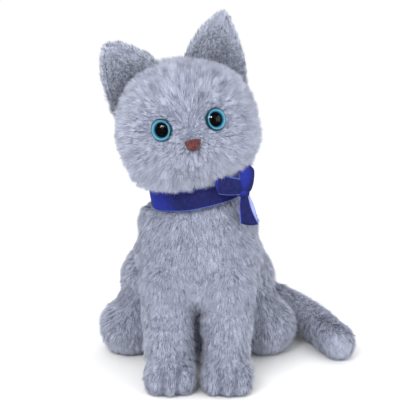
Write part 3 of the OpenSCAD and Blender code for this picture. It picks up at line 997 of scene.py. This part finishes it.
def keep_clear_of_collar(points):
    """Bare under the ribbon and just above it, where pile would lie over the band."""
    local = (points - NECK) @ turn("y", -HEAD_ROLL)
    below, above = local[:, 2] < -RIBBON_W / 2 + 0.5, local[:, 2] > RIBBON_W / 2 + PILE_OVER_BAND
    return below | above


def head_groom(points, _normals):
    """Pile runs out from the bridge of the nose, over the brow and cheeks, and down the back."""
    source = head_points(np.array([[0.0, -44.0, 2.0]]))
    flow = unit(points - source) + np.array([0.0, 0.0, -0.15])
    behind = np.clip((head_local(points)[:, 1] + 8.0) / 16.0, 0, 1)[:, None]
    return flow * (1 - behind) + np.array([0.0, 0.6, -1.0]) * behind


def eye_gap(local, side):
    """Distance of points from the middle of an eye."""
    return np.linalg.norm(local - mirrored(EYE_PLACE, side), axis=1)


def head_length(points, _normals):
    """Long over crown and cheeks, short round the eyes and on the muzzle."""
    local = head_local(points)
    tall = np.full(len(points), HEAD_PILE)
    for side in (LEFT, RIGHT):
        tall *= 0.42 + 0.58 * np.clip((eye_gap(local, side) - EYE_R) / 12.0, 0, 1)
    tall *= 1 + 0.08 * np.clip((-local[:, 2] - 20.0) / 10.0, 0, 1)
    gap = np.linalg.norm(local - NOSE_PLACE, axis=1)
    return tall * (0.32 + 0.68 * np.clip((gap - 3.0) / 17.0, 0, 1))


def head_streaks(points, _normals):
    """Darker and lighter streaks that run out from the nose, strongest on the brow."""
    local = head_local(points) - NOSE_PLACE
    distance = np.linalg.norm(local, axis=1)
    sector = np.floor((np.arctan2(local[:, 0], local[:, 2]) + 4.0) * 24.0)
    shift = scramble(np.stack([sector, 0 * sector, 0 * sector], 1).astype(np.int64), 71)
    ring = np.floor((distance + 8.0 * shift) / 5.5)
    tone = scramble(np.stack([sector, ring, 0 * ring], 1).astype(np.int64), 73) - 0.5
    above, inward = (local[:, 2] - 4.0) / 12.0, (34.0 - np.abs(local[:, 0])) / 14.0
    brow = np.clip(above, 0, 1) * np.clip(inward, 0, 1)
    return -0.45 - 0.55 * brow + tone * (1.0 + 2.0 * brow)


def head_keep(points):
    """No pile under the eyes, the nose or inside the neck."""
    local = head_local(points)
    kept = np.linalg.norm(points - NECK, axis=1) > COLLAR_R + 2.5
    for side in (LEFT, RIGHT):
        kept &= eye_gap(local, side) > EYE_R * 0.93
    offset = (local - NOSE_PLACE + [0.0, 0.0, 0.7]) / np.array([4.6, 6.0, 3.2])
    return kept & (np.linalg.norm(offset, axis=1) > 1.0)


def downwards(_points, normals):
    """Pile lies down the body."""
    return np.array([0.0, 0.0, -1.0]) + 0.25 * normals * [1, 1, 0]


def steady(value):
    """The same pile length, or shift of shade, everywhere."""
    return lambda points, _normals: np.full(len(points), value)


def paw_groom(points, _normals):
    """Down the leg, then forward over the toes."""
    forward = np.clip((26.0 - points[:, 2]) / 20.0, 0, 1)[:, None]
    return np.array([0.0, 0.0, -1.0]) * (1 - 0.3 * forward) + np.array([0.0, -0.4, 0.0]) * forward


def toe_crease_painted_shade(side):
    """Painted shade: pile is darker in the creases where the stitches draw it in between the toes.
    """
    middle = side * PAW_X + PAW_SHIFT

    def shift(points, _normals):
        off = np.abs(points[:, 0] - middle) - 4.3
        low_front = (points[:, 2] < 20.0) & (points[:, 1] < -73.0)
        return -0.4 - np.where(low_front, 3.0 * np.exp(-((off / 1.4) ** 2)), 0.0)

    return shift


def thigh_crease_painted_shade(points, _normals):
    """Painted shade: pile is darker in the crease where the thigh meets the foot."""
    return -0.1 - 1.2 * np.exp(-(((points[:, 2] - 45.0) / 6.0) ** 2))


def along_tail(path):
    """Pile lies down and along the tail towards its tip."""
    heading = unit(np.gradient(path, axis=0))

    def groom(points, _normals):
        nearest = np.argmin(np.linalg.norm(points[:, None] - path[None], axis=2), axis=1)
        return heading[nearest] * 0.6 - np.array([0.0, 0.0, 0.7])

    return groom


def set_limb(skin, fur, name, *more_nodes, bend=None):
    """A limb's skin and pile ride its body, or stay in place when given a bend, and stand for its
    solids.
    """
    for piece in (skin, fur):
        if bend is None:
            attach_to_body(piece, name)
        else:
            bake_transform(piece)
    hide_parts(f"{name}_cover", f"{name}_stuffing", *more_nodes)


def make_head(ground, shades):
    """The head's skin, with the face and the nape as two pieces of pile."""
    head = head_skin(ground)
    for label, density, salt, gather, shade_shift in (
        ("face", 6.2, 3, 0.5, head_streaks), ("nape", 4.8, 4, 0.25, steady(0.1)),
    ):
        def keep(points, _normals, label=label):
            in_front = head_local(points)[:, 1] < -2.0
            return head_keep(points) & (in_front == (label == "face"))

        fur = pile(f"{label}_pile", head, head_groom, head_length, shades, density=density,
                   lay=0.5, salt=salt, keep=keep, shade_shift=shade_shift, clump=2.4, gather=gather)
        attach(fur, "head", "long_plush")
    attach(head, "head", "long_plush", "head_left_panel", "head_right_panel", "head_gusset",
           "head_stuffing", "left_eye_washer", "right_eye_washer")


def make_torso(ground, shades):
    """The torso's skin, with its pile in three pieces."""
    torso = torso_skin(ground)
    for label, density, salt in (("chest", 4.4, 5), ("belly", 4.4, 6), ("back", 3.4, 7)):
        def keep(points, _normals, label=label):
            front, upper = points[:, 1] < -12.0, points[:, 2] > 84.0
            zone = {"chest": front & upper, "belly": front & ~upper, "back": ~front}[label]
            return keep_clear_of_collar(points) & zone & (points[:, 2] > 2.5)

        fur = pile(f"torso_{label}_pile", torso, downwards, steady(TORSO_PILE), shades,
                   density=density, lay=0.6, salt=salt, keep=keep, shade_shift=steady(-0.55))
        attach(fur, "torso", "long_plush")
    attach(torso, "torso", "long_plush", "chest_panel", "back_panel", "torso_stuffing",
           "pellet_bag", "neck_gathering_thread", "seat_panel", "closing_seam")


def make_legs(ground, shades, side):
    """A front leg and a hind leg."""
    name = f"front_{SIDE_NAME[side]}_leg"
    leg = front_leg_skin(side, ground)
    fur = pile(f"{name}_pile", leg, paw_groom, steady(FRONT_LEG_PILE), shades, density=5.0,
               lay=0.52, salt=20 + side, shade_shift=toe_crease_painted_shade(side))
    shoulder = mirrored(SHOULDER, side)
    bend = ("torso", shoulder + [0, 0, 10], shoulder - [0, 3, 14])
    set_limb(leg, fur, name, f"front_{SIDE_NAME[side]}_toe_stitches", bend=bend)
    name = f"hind_{SIDE_NAME[side]}_leg"
    leg = hind_leg_skin(side, ground)
    fur = pile(f"{name}_pile", leg, downwards, steady(HIND_LEG_PILE), shades, density=4.0,
               lay=0.45, salt=30 + side, shade_shift=thigh_crease_painted_shade)
    set_limb(leg, fur, name)


def make_tail(ground, shades):
    """Three lengths of tail that run on from one another."""
    skins, path = tail_skins(ground)
    bends = (
        ("torso", TAIL_ROOT - [8, 2, 0], TAIL_ROOT + [8, 2, 0]),
        ("tail_root", TAIL_BEND - [7, 2, 0], TAIL_BEND + [6, -5, 0]),
        ("tail_middle", TAIL_LIFT - [6, -6, -2], TAIL_LIFT + [4, -8, -1]),
    )
    for i, name in enumerate(("tail_root", "tail_middle", "tail_tip")):
        # Painted light: the tail's pile is made lighter against the shadow the body casts on it
        fur = pile(f"{name}_pile", skins[i], along_tail(path), steady(TAIL_PILE), shades,
                   density=5.2, lay=0.62, salt=40 + i, shade_shift=steady(0.55), gather=0.12)
        set_limb(skins[i], fur, name, bend=bends[i])


def make_ear(ground, shades, lining_shades, side):
    """An ear with short pile in its hollow, painted dark there as shade and lighter towards the tip
    and rim as painted light, and longer pile behind.
    """
    label = SIDE_NAME[side]
    ear = ear_skin(side, ground)
    root, tip = ear_points([[0, 0, 0], [EAR_LEAN[side], 0, EAR_H[side]]], side)
    rise = unit(tip - root)

    def to_tip(points, _normals):
        return rise + 0 * points

    def front_side(_points, normals):
        return normals @ (HEAD_TURN @ AHEAD) > 0.1

    def back_side(_points, normals):
        return normals @ (HEAD_TURN @ AHEAD) < 0.6

    # Painted shade low in the hollow, painted light up towards the tip and the rim
    def painted_hollow_shade_rim_light(points, _normals):
        up_ear = (points - root) @ rise
        height = np.clip(up_ear / EAR_H[RIGHT], 0, 1)
        off_middle = np.linalg.norm(points - root - np.outer(up_ear, rise), axis=1)
        rim = np.clip(off_middle / (EAR_W * 0.42 * (1.05 - height)), 0, 1)
        return -1.55 + 2.2 * height + 1.1 * rim**3

    inner = pile(f"{label}_ear_lining_pile", ear, to_tip, steady(EAR_HOLLOW_PILE), lining_shades,
                 density=5.5, lay=0.5, salt=50 + side, keep=front_side,
                 shade_shift=painted_hollow_shade_rim_light, clump=1.5)
    outer = pile(f"{label}_ear_back_pile", ear, to_tip, steady(EAR_BACK_PILE), shades, density=4.6,
                 lay=0.55, salt=60 + side, keep=back_side)
    attach(ear, f"{label}_ear", "long_plush", f"{label}_ear_back", f"{label}_ear_lining")
    attach(inner, f"{label}_ear", "short_plush")
    attach(outer, f"{label}_ear", "long_plush")


def build():
    """Every piece of the kitten."""
    # The backing is darker than the pile, as painted shade deep in the pile between the strands
    ground = plush_ground("plush_ground", (0.14, 0.157, 0.22), (0.26, 0.285, 0.37))
    ear_ground = plush_ground("ear_ground", (0.36, 0.39, 0.49), (0.48, 0.515, 0.63))
    shades = pile_shades("pile", (0.25, 0.275, 0.385), (0.68, 0.72, 0.88))
    # The lining's shades run darker than the pile's, as painted shade in the ear's hollow
    lining_shades = pile_shades("short_pile", (0.13, 0.145, 0.20), (0.60, 0.64, 0.78))
    make_head(ground, shades)
    make_torso(ground, shades)
    for side in (LEFT, RIGHT):
        make_legs(ground, shades, side)
    make_tail(ground, shades)
    for side in (LEFT, RIGHT):
        make_ear(ear_ground, shades, lining_shades, side)

    glass = clear_plastic()
    for side in (LEFT, RIGHT):
        make_eye(side, glass)
    make_nose(thread_material("nose_thread", (0.05, 0.015, 0.015), (0.19, 0.06, 0.058)))
    # Both velvets have a sheen painted into their colour where they face a fixed way: the band's
    # towards the left, the bow's towards the front
    band_velvet = velvet_material("velvet", (-0.8, -0.35, 0.3), 0.66, 1.05)
    bow_velvet = velvet_material("bow_velvet", (0.0, -0.95, 0.3), 0.68, 1.28)
    satin = noisy_material("satin", (0.38, 0.1, 0.5), 300.0, (0.26, 0.31, 0.60), (0.40, 0.46, 0.76),
                           (1800.0, 0.25, 0.0002))
    selvedge = noisy_material("selvedge", (0.5, 0.3, 0.4), 900.0, (0.03, 0.06, 0.42),
                              (0.05, 0.13, 0.64), (2200.0, 0.4, 0.0003))
    make_ribbon([band_velvet, satin, selvedge], [bow_velvet, satin, selvedge])

    # Two CAD pieces stay as they are under the pile and only take a finish
    stitch = thread_material("grey_thread", (0.20, 0.22, 0.28), (0.34, 0.37, 0.45))
    fluff = plush_ground("fluff", (0.80, 0.79, 0.75), (0.92, 0.91, 0.88))
    for node, material in (("neck_ladder_stitch", stitch), ("neck_stuffing", fluff)):
        data = frame["nodes"][node].data
        data.materials.clear()
        data.materials.append(material)


make_camera()
make_studio()
build()
